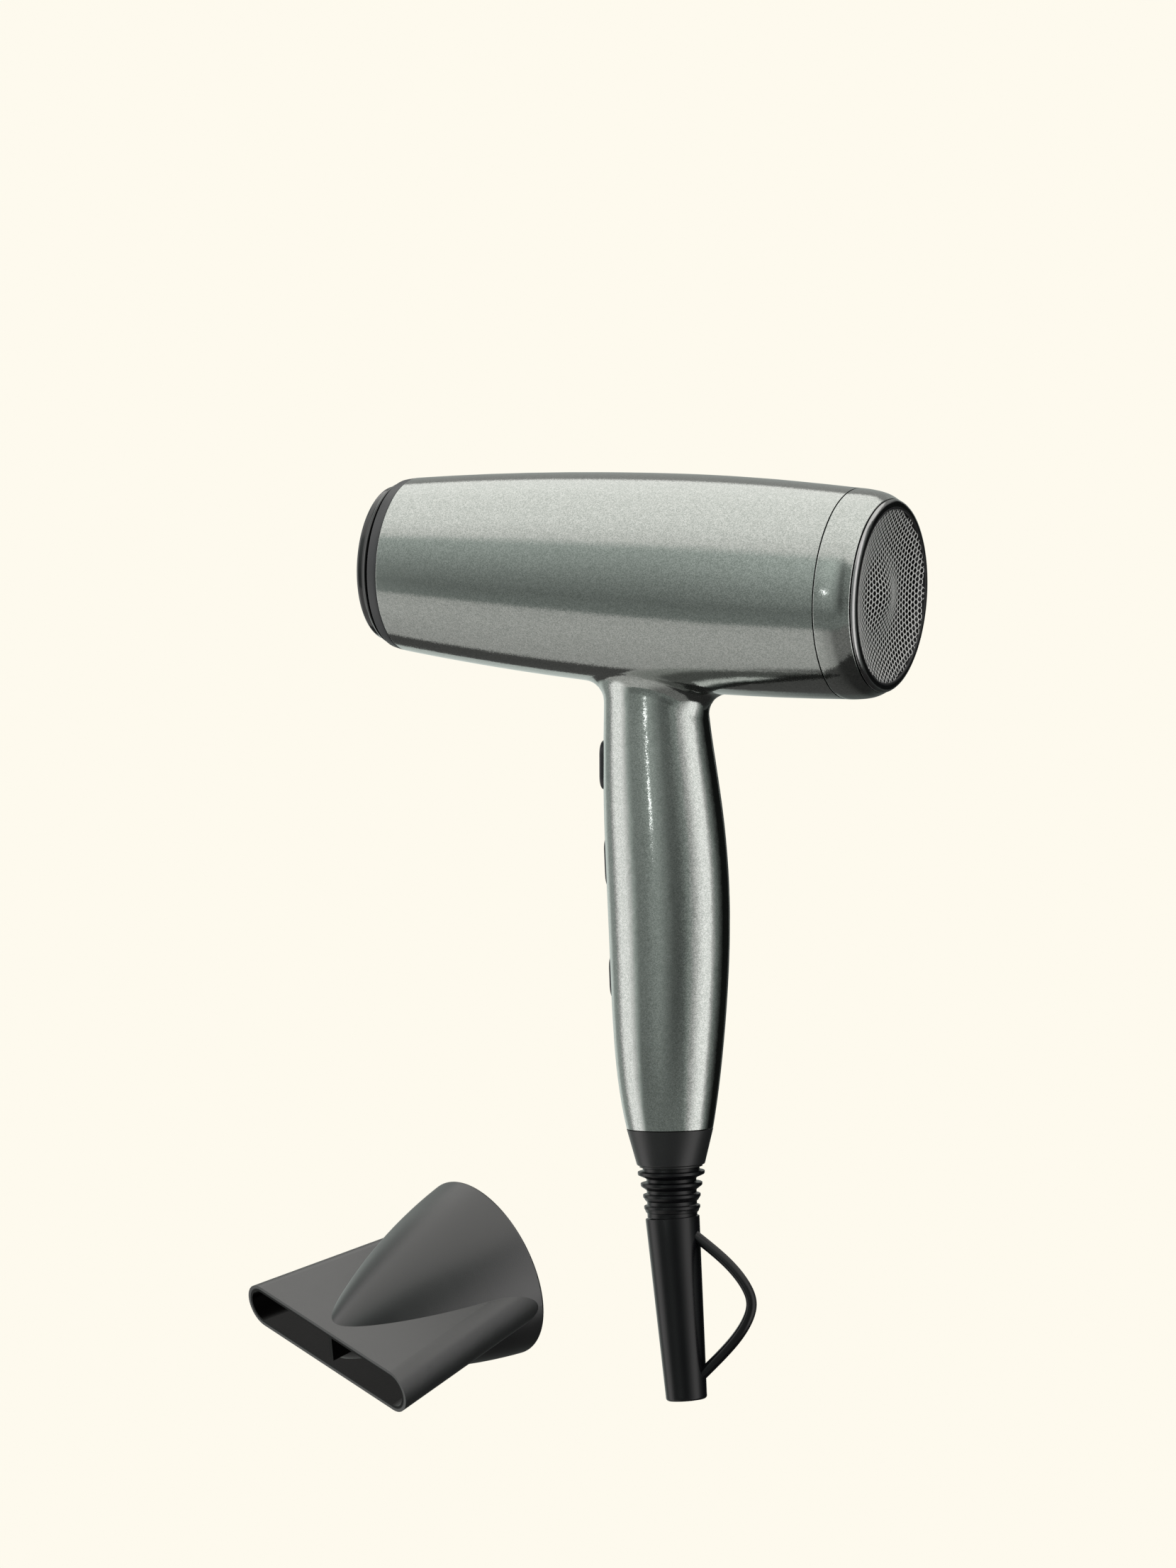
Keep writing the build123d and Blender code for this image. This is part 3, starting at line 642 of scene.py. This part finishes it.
class HAIRDRYER_OT_buttons(bpy.types.Operator):
    """Three push buttons that follow the curve of the handle"""
    bl_idname = "hairdryer.buttons"
    bl_label = "Buttons"

    def execute(self, context):
        width = 10.4
        into_grip = (TO_METRES @ GRIP).inverted()
        rows = (("power_button", 50.8, 16.9), ("heat_button", 18.1, 17.9), ("speed_button", -20.5, 15.5))
        for node, middle, length in rows:
            mesh = frame["nodes"][node].data
            points = [into_grip @ v.co for v in mesh.vertices]
            surface = BVHTree.FromPolygons(points, [p.vertices for p in mesh.polygons])
            bm = button_cap(middle, length, width, surface)
            new_piece(node + "_cap", bm, GRIP, node, "button_black", (node,))
        return {"FINISHED"}


def button_cap(middle, length, width, surface):
    """A round-ended cap whose crown lies on the CAD button's face, with rounded rim and skirt."""
    skirt_x, rim_drop = -17.6, 0.75
    bm = bmesh.new()
    made = bmesh.ops.create_circle(bm, cap_ends=True, segments=56, radius=width / 2 - 0.02)
    half = (length - width) / 2
    for v in made["verts"]:
        v.co.y += middle + (half if v.co.y > 1e-5 else -half)
    face = bm.faces[:][0]
    rim = list(face.verts)
    drops = {v: rim_drop for v in rim}
    # each row is (step in from the last ring, depth below the face)
    for step, drop in ((0.12, 0.35), (0.22, 0.12), (0.3, 0.0), (0.9, 0.0), (1.6, 0.12), (1.4, 0.16)):
        bmesh.ops.inset_individual(bm, faces=[face], thickness=step, depth=0, use_even_offset=True)
        for v in face.verts:
            drops[v] = drop
    # the face is read a little inside the rim, where the CAD button's own edge is still flat
    inward, before = 0.985, -45
    for v, drop in drops.items():
        y, z = v.co.x, v.co.y
        start = Vector((before, y * inward, middle + (z - middle) * inward))
        hit = surface.ray_cast(start, Vector((1, 0, 0)))[0]
        v.co = (hit.x + drop, y, z)
    edges = [e for e in bm.edges if all(v in rim for v in e.verts)]
    for made in bmesh.ops.extrude_edge_only(bm, edges=edges)["geom"]:
        if isinstance(made, bmesh.types.BMVert):
            made.co.x = skirt_x
    bmesh.ops.contextual_create(bm, geom=[e for e in bm.edges if e.is_boundary])
    bmesh.ops.recalc_face_normals(bm, faces=bm.faces)
    return bm


class HAIRDRYER_OT_studio(bpy.types.Operator):
    """Cream floor with its sweep, studio light and camera"""
    bl_idname = "hairdryer.studio"
    bl_label = "Studio"

    def execute(self, context):
        studio = context.scene.hair_dryer_studio
        context.scene.view_settings.view_transform = "Standard"
        make_camera(studio)
        make_floor(studio)
        make_light(studio)
        return {"FINISHED"}


def make_camera(studio):
    """A long lens that looks slightly down, from a little round to the rear."""
    camera = bpy.data.cameras.new("camera")
    camera.lens = studio.lens
    camera.sensor_width = 36
    camera.clip_end = 100
    holder = bpy.data.objects.new("camera", camera)
    bpy.context.scene.collection.objects.link(holder)
    back = Vector((math.sin(studio.azimuth) * math.cos(studio.elevation),
                   -math.cos(studio.azimuth) * math.cos(studio.elevation), math.sin(studio.elevation)))
    aim = Vector((-0.0316, 0.0, 0.042))
    turn = (-back).to_track_quat("-Z", "Y").to_matrix() @ Matrix.Rotation(studio.roll, 3, "Z")
    holder.matrix_world = Matrix.Translation(aim + back * studio.distance) @ turn.to_4x4()
    bpy.context.scene.camera = holder


def make_floor(studio):
    """A wide floor that curves up on every side, seen but casting no light of its own; in metres."""
    bm = bmesh.new()
    floor, reach, bend, height = -3.2, 9.0, 3.0, 9.0
    profile = [(0, 0, floor), (reach - bend, 0, floor)]
    profile += [(reach - bend + bend * math.sin(a), 0, floor + bend - bend * math.cos(a))
                for a in (math.radians(10 * k) for k in range(1, 10))]
    profile += [(reach, 0, height)]
    geom = outline_ring(bm, profile, False)
    bmesh.ops.spin(bm, geom=geom, cent=(0, 0, 0), axis=(0, 0, 1), angle=math.tau, steps=96,
                   use_merge=True)
    bmesh.ops.remove_doubles(bm, verts=bm.verts, dist=1e-4)
    for face in bm.faces:
        face.smooth = True
    mesh = bpy.data.meshes.new("floor")
    bm.to_mesh(mesh)
    bm.free()
    sweep = bpy.data.objects.new("floor", mesh)
    bpy.context.scene.collection.objects.link(sweep)
    material = bpy.data.materials.new("cream_floor")
    material.use_nodes = True
    tree = Tree(material.node_tree)
    glow = tree.add("ShaderNodeEmission")
    where = tree.add("ShaderNodeTexCoord").outputs["Object"]
    cloud = tree.add("ShaderNodeTexNoise")
    cloud.inputs["Scale"].default_value = 0.4
    tree.link(where, cloud.inputs["Vector"])
    tone = tree.mix(cloud.outputs["Fac"], shade(studio.floor, 0.999), shade(studio.floor, 1.0))
    tree.link(tone, glow.inputs["Color"])
    output = tree.add("ShaderNodeOutputMaterial")
    tree.link(glow.outputs[0], output.inputs["Surface"])
    mesh.materials.append(material)
    for ray in ("diffuse", "glossy", "transmission", "shadow"):
        setattr(sweep, "visible_" + ray, False)


def stops(tree, value, low, high, table):
    """A colour ramp over low..high from rows of (place, level, tint)."""
    node = tree.add("ShaderNodeValToRGB")
    elements = node.color_ramp.elements
    elements.remove(elements[1])
    for k, (place, level, tint) in enumerate(table):
        position = (place - low) / (high - low)
        element = elements[0] if k == 0 else elements.new(position)
        element.position = position
        element.color = (*[level * c for c in tint], 1)
    tree.link(tree.remap(value, low, high, 0, 1), node.inputs["Fac"])
    return node.outputs["Color"]


# tints of the surround
WHITE = (1.0, 1.0, 1.0)
NEUTRAL = (0.92, 1.0, 0.945)
WARM = (1.0, 0.99, 0.955)
SIDE = (1.0, 0.985, 0.97)
# the surround over the object, front to back: degrees up from the front, level, tint
OVER = ((-180, 0.70, NEUTRAL), (-141, 0.60, NEUTRAL), (-138, 0.48, WARM), (-107, 0.52, WARM),
        (-60, 0.64, WARM), (-40, 0.62, WARM), (-36.5, 0.29, NEUTRAL), (-20, 0.24, NEUTRAL),
        (0, 0.36, NEUTRAL), (18, 0.50, NEUTRAL), (36, 0.62, NEUTRAL), (44, 1.02, WARM),
        (60, 1.22, WARM), (75, 1.30, WARM), (118, 1.40, WARM), (137, 1.32, WARM),
        (142, 0.36, WARM), (180, 0.36, NEUTRAL))
# the surround beside the object: degrees round from the front towards the rear cap, level, tint
AROUND = ((-180, 0.06, NEUTRAL), (-172, 0.20, NEUTRAL), (-150, 0.75, NEUTRAL), (-125, 0.80, NEUTRAL),
          (-113, 0.42, NEUTRAL), (-99, 0.42, NEUTRAL), (-93, 0.55, SIDE), (-87, 1.10, SIDE),
          (-80, 1.45, SIDE), (-62, 1.42, SIDE), (-56, 1.05, SIDE), (-47, 0.55, NEUTRAL),
          (-38, 0.38, NEUTRAL), (38, 0.26, NEUTRAL), (48, 0.40, NEUTRAL), (58, 0.66, SIDE),
          (68, 1.15, SIDE), (80, 1.55, SIDE), (96, 1.48, SIDE), (103, 0.70, SIDE),
          (112, 0.32, NEUTRAL), (126, 0.10, NEUTRAL), (139, 0.010, NEUTRAL), (180, 0.010, NEUTRAL))
# gain of the front of the surround along the barrel: x of the direction, gain
ACROSS = ((-0.62, 1.0), (-0.42, 1.0), (-0.30, 1.2), (-0.14, 1.38), (-0.02, 1.30), (0.10, 0.98),
          (0.20, 0.78), (0.32, 0.52), (0.45, 0.44), (0.56, 0.50), (0.68, 0.75))
RAMP_SCALE = 0.6  # keeps the ramps' levels under 1; the background's strength undoes it
GAIN_SCALE = 0.5
LAMP_WAY = (-0.170, -0.9844, 0.0454)


def make_light(studio):
    """A soft studio all round: a long overhead box, a pale card below, side boxes, dark between."""
    world = bpy.data.worlds.new("studio")
    bpy.context.scene.world = world
    world.use_nodes = True
    tree = Tree(world.node_tree)
    rad, half_turn = math.radians, math.pi
    way = tree.add("ShaderNodeTexCoord").outputs["Generated"]
    split = tree.add("ShaderNodeSeparateXYZ")
    tree.link(way, split.inputs[0])
    x, y, z = split.outputs
    front = tree.times(y, -1.0)
    about_x = tree.math("ARCTAN2", z, front)
    about_z = tree.math("ARCTAN2", x, front)
    stripe, side = (
        stops(tree, value, -half_turn, half_turn, [(rad(p), v * RAMP_SCALE, t) for p, v, t in table])
        for value, table in ((about_x, OVER), (about_z, AROUND)))

    # the pale card below ends at a slanted edge and thins out towards the rear
    edge = tree.math("ADD", tree.remap(x, -0.44, -0.34, rad(-111), rad(-90)),
                     tree.remap(x, -0.34, 0.0, 0, rad(16)))
    past_edge = tree.remap(tree.math("SUBTRACT", about_x, edge), rad(1.5), rad(-2.5), smooth=True)
    far_floor = tree.times(tree.remap(about_x, rad(-138), rad(-141)),
                           tree.remap(x, -0.42, -0.36, 1.0, 0.0))
    dark = tree.times(past_edge, tree.math("SUBTRACT", 1.0, far_floor))
    thin = tree.times(tree.remap(about_x, rad(-34), rad(-40)),
                      tree.remap(x, -0.34, 0.02, to_high=0.62, smooth=True))
    # low behind the object, towards the rear cap, the sides of the studio show instead
    behind = tree.times(tree.remap(tree.math("ABSOLUTE", about_x), rad(138), rad(148)),
                        tree.remap(x, -0.06, 0.10))
    behind = tree.times(behind, tree.remap(tree.math("ABSOLUTE", z), 0.30, 0.45, 1.0, 0.0))
    dark = tree.times(dark, tree.math("SUBTRACT", 1.0, behind))
    keep = tree.times(tree.remap(dark, 0.0, 1.0, 1.0, 0.18), tree.math("SUBTRACT", 1.0, thin))

    # in front, the level also changes along the barrel
    gain = stops(tree, x, -1.0, 1.0, [(p, v * GAIN_SCALE, WHITE) for p, v in ACROSS])
    frontal = tree.times(tree.remap(about_x, rad(30), rad(46), 1.0, 0.0, True),
                         tree.remap(about_x, rad(-24), rad(-9), smooth=True))
    gained = tree.scale(tree.mix(1.0, stripe, gain, "MULTIPLY"), 1 / GAIN_SCALE)
    middle = tree.scale(tree.mix(frontal, stripe, gained), keep)
    sideways = tree.math("MAXIMUM", behind, tree.remap(tree.math("ABSOLUTE", x), 0.60, 0.72, smooth=True))
    whole = tree.mix(sideways, middle, side)

    # a small lamp near the camera, with a faint halo
    near_lamp = tree.vector("DOT_PRODUCT", way, LAMP_WAY)
    core = tree.remap(near_lamp, math.cos(rad(1.8)), math.cos(rad(0.6)), to_high=2.8, smooth=True)
    halo = tree.remap(near_lamp, math.cos(rad(6)), math.cos(rad(1)), to_high=0.05, smooth=True)
    background = tree.add("ShaderNodeBackground")
    background.inputs["Strength"].default_value = studio.light / RAMP_SCALE
    tree.link(tree.vector("ADD", whole, tree.math("ADD", core, halo)), background.inputs["Color"])
    output = tree.add("ShaderNodeOutputWorld")
    tree.link(background.outputs[0], output.inputs["Surface"])


# ------------------------------------------------------------------ panel and registration
OPERATORS = (HAIRDRYER_OT_frame_finishes, HAIRDRYER_OT_outlet, HAIRDRYER_OT_rear_rings,
             HAIRDRYER_OT_intake_mesh, HAIRDRYER_OT_strain_relief, HAIRDRYER_OT_buttons,
             HAIRDRYER_OT_studio)
GROUPS = {"hair_dryer_finishes": HairDryerFinishes, "hair_dryer_sizes": HairDryerSizes,
          "hair_dryer_studio": HairDryerStudio}


class HAIRDRYER_PT_panel(bpy.types.Panel):
    """Lists the pieces of the hair dryer"""
    bl_idname = "HAIRDRYER_PT_panel"
    bl_label = "Hair Dryer"
    bl_space_type = "VIEW_3D"
    bl_region_type = "UI"
    bl_category = "Hair Dryer"

    def draw(self, context):
        for operator in OPERATORS:
            self.layout.operator(operator.bl_idname)
        for name, group in GROUPS.items():
            box = self.layout.box()
            for key in group.__annotations__:
                box.prop(getattr(context.scene, name), key)


def register():
    for cls in (*GROUPS.values(), *OPERATORS, HAIRDRYER_PT_panel):
        bpy.utils.register_class(cls)
    for name, group in GROUPS.items():
        setattr(bpy.types.Scene, name, bpy.props.PointerProperty(type=group))


def unregister():
    for name in GROUPS:
        delattr(bpy.types.Scene, name)
    for cls in reversed((*GROUPS.values(), *OPERATORS, HAIRDRYER_PT_panel)):
        bpy.utils.unregister_class(cls)


def main():
    register()
    for operator in OPERATORS:
        area, name = operator.bl_idname.split(".")
        getattr(getattr(bpy.ops, area), name)()


if __name__ == "__main__":
    main()
